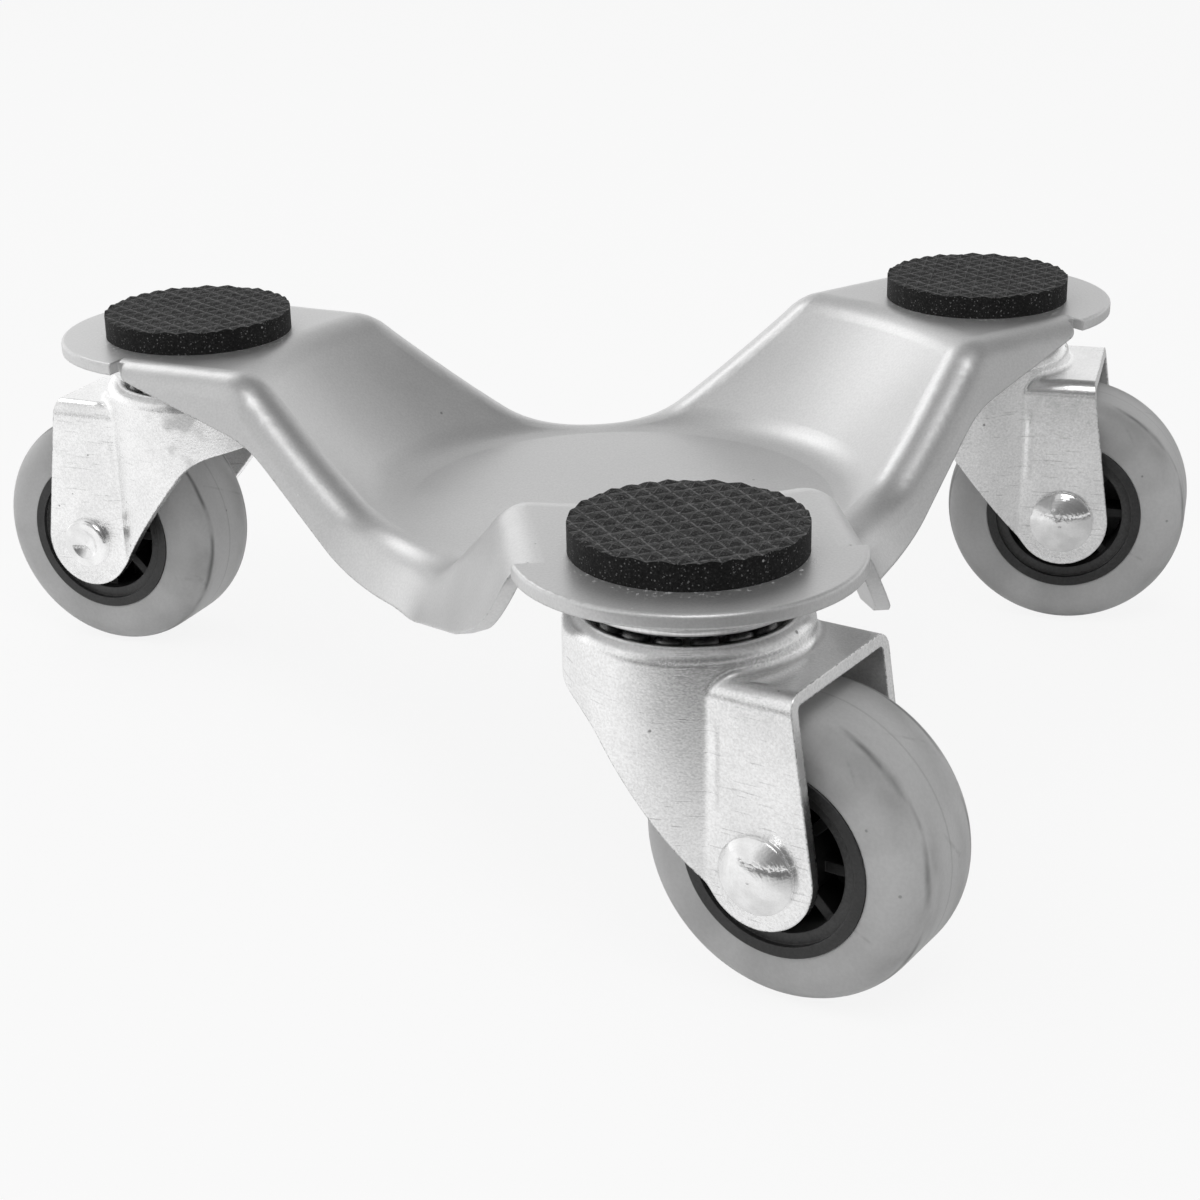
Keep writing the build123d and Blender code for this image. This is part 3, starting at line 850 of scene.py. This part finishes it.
class ROLLER_OT_castor_finish(Operator):
    """Finish the forks, races, rivets, hubs and tyres of the castors"""

    bl_idname = "roller.castor_finish"
    bl_label = "Castor finishes"

    def execute(self, context):
        colours = context.scene.roller_colours
        for arm in ARMS:
            wear_node(f"fork_{arm}", fork_zinc(arm, colours))
            rivet = rivet_steel(arm, colours)
            for name in ("axle", "axle_sleeve", "kingpin"):
                wear_node(f"{name}_{arm}", rivet)
            race = race_steel(arm, colours)
            for name in ("upper_race", "lower_race"):
                wear_node(f"{name}_{arm}", race)
            wear_node(f"hub_{arm}", hub_plastic(arm, colours))
            wear_node(f"tyre_{arm}", tyre_rubber(arm, colours))
        return {"FINISHED"}


class ROLLER_OT_stage(Operator):
    """Set up the floor, the light and the camera"""

    bl_idname = "roller.stage"
    bl_label = "Studio"

    def execute(self, context):
        stage = context.scene.roller_stage
        self.lay_floor(stage)
        self.light_world(context.scene, stage)
        for name, place, size, power in (
            ("key_softbox", stage.key_place, stage.key_size, stage.key_power),
            ("rear_softbox", stage.rear_place, stage.rear_size, stage.rear_power),
        ):
            self.hang_softbox(name, place, stage.light_target, size, power)
        self.place_camera(context.scene, stage)
        context.scene.view_settings.view_transform = "Standard"
        return {"FINISHED"}

    def lay_floor(self, stage):
        """Lays a pale floor that the camera sees as white, with the roller's shadow on it."""
        plane = bpy.ops.mesh.primitive_plane_add
        floor = add_piece("floor", plane, size=stage.floor_size, location=(0, 0, 0))
        material, g = finish_named("pale_floor")
        side, ahead, _ = g.parts(g.place())
        # Painted shade in reflections: the floor that metal mirrors is darker towards the camera
        # and to the right
        pale = ahead.ramp(*FLOOR_AHEAD, 0.10, 1.0) * side.ramp(*FLOOR_ASIDE, 1.0, 0.50)
        plain = g.node("ShaderNodeBsdfDiffuse", sockets={"Color": (*stage.floor_colour, 1.0)})
        seen = g.node("ShaderNodeLightPath", output="Is Camera Ray")
        white = g.node("ShaderNodeEmission", sockets={"Color": seen.peak(pale), "Strength": 1.0})
        for ray in ("Is Glossy Ray", "Is Transmission Ray"):
            seen = seen.peak(g.node("ShaderNodeLightPath", output=ray))
        share = seen * (1 - stage.floor_shadow)
        shown = g.node("ShaderNodeMixShader", sockets={0: share, 1: plain, 2: white})
        g.node("ShaderNodeOutputMaterial", sockets={"Surface": shown})
        wear(floor, material)

    def light_world(self, scene, stage):
        """Lights the studio by a grey dome, dim in front and overhead, white at the horizon."""
        world = bpy.data.worlds.new("studio")
        scene.world = world
        g = Graph(world)
        side, ahead, height = g.parts(g.node("ShaderNodeTexCoord", output="Generated"))
        low = stage.dome_level + side.ramp(-1.0, 0.6, 0.28, -0.10)
        low = low * ahead.ramp(-0.3, -0.9, 1.0, 0.28)
        glow = stage.dome_glow * height.ramp(0.46, 0.22) * ahead.ramp(0.0, 0.6)
        dome = (low + glow) * (height + 0.2 * side).ramp(0.70, 0.86, 1.0, 0.35)
        dome = dome.peak(height.ramp(0.10, 0.06))
        back = g.node("ShaderNodeBackground", sockets={"Color": dome, "Strength": 1.0})
        g.node("ShaderNodeOutputWorld", sockets={"Surface": back})

    def hang_softbox(self, name, place, target, size, power):
        """Hangs a square softbox that faces a point."""
        bpy.ops.object.select_all(action="DESELECT")
        aim = Vector(target) - Vector(place)
        turn = aim.to_track_quat("-Z", "Y").to_euler()
        bpy.ops.object.light_add(type="AREA", location=place, rotation=turn)
        lamp = bpy.context.active_object
        lamp.name = name
        lamp.data.shape = "SQUARE"
        lamp.data.size = size
        lamp.data.energy = power

    def place_camera(self, scene, stage):
        """Puts the camera where the photograph was taken from."""
        yaw, pitch, roll = stage.camera_yaw, stage.camera_pitch, stage.camera_roll
        ahead = Vector((sin(yaw) * cos(pitch), cos(yaw) * cos(pitch), -sin(pitch)))
        level = Vector((cos(yaw), -sin(yaw), 0.0))
        down = ahead.cross(level)
        right = cos(roll) * level + sin(roll) * down
        up = sin(roll) * level - cos(roll) * down
        turn = Matrix((right, up, -ahead)).transposed()
        bpy.ops.object.select_all(action="DESELECT")
        bpy.ops.object.camera_add(location=stage.camera_place, rotation=turn.to_euler())
        camera = bpy.context.active_object
        camera.name = "photo_camera"
        camera.data.sensor_width = SENSOR_WIDTH
        camera.data.lens = stage.camera_lens
        camera.data.clip_start = CLIP_START
        scene.camera = camera


class ROLLER_PT_panel(Panel):
    """Steps that dress the roller"""

    bl_idname = "ROLLER_PT_panel"
    bl_label = "Furniture roller"
    bl_space_type = "VIEW_3D"
    bl_region_type = "UI"
    bl_category = "Roller"

    def draw(self, context):
        for step in STEPS:
            self.layout.operator(step.bl_idname)


STEPS = (
    ROLLER_OT_pads,
    ROLLER_OT_balls,
    ROLLER_OT_frame_finish,
    ROLLER_OT_castor_finish,
    ROLLER_OT_stage,
)
GROUPS = {
    "roller_sizes": RollerSizes,
    "roller_colours": RollerColours,
    "roller_stage": RollerStage,
}


def register():
    for group in GROUPS.values():
        bpy.utils.register_class(group)
    for name, group in GROUPS.items():
        setattr(bpy.types.Scene, name, PointerProperty(type=group))
    for step in STEPS:
        bpy.utils.register_class(step)
    bpy.utils.register_class(ROLLER_PT_panel)


def unregister():
    bpy.utils.unregister_class(ROLLER_PT_panel)
    for step in reversed(STEPS):
        bpy.utils.unregister_class(step)
    for name, group in GROUPS.items():
        delattr(bpy.types.Scene, name)
        bpy.utils.unregister_class(group)


def main():
    register()
    bpy.ops.roller.pads()
    bpy.ops.roller.balls()
    bpy.ops.roller.frame_finish()
    bpy.ops.roller.castor_finish()
    bpy.ops.roller.stage()


if __name__ == "__main__":
    main()
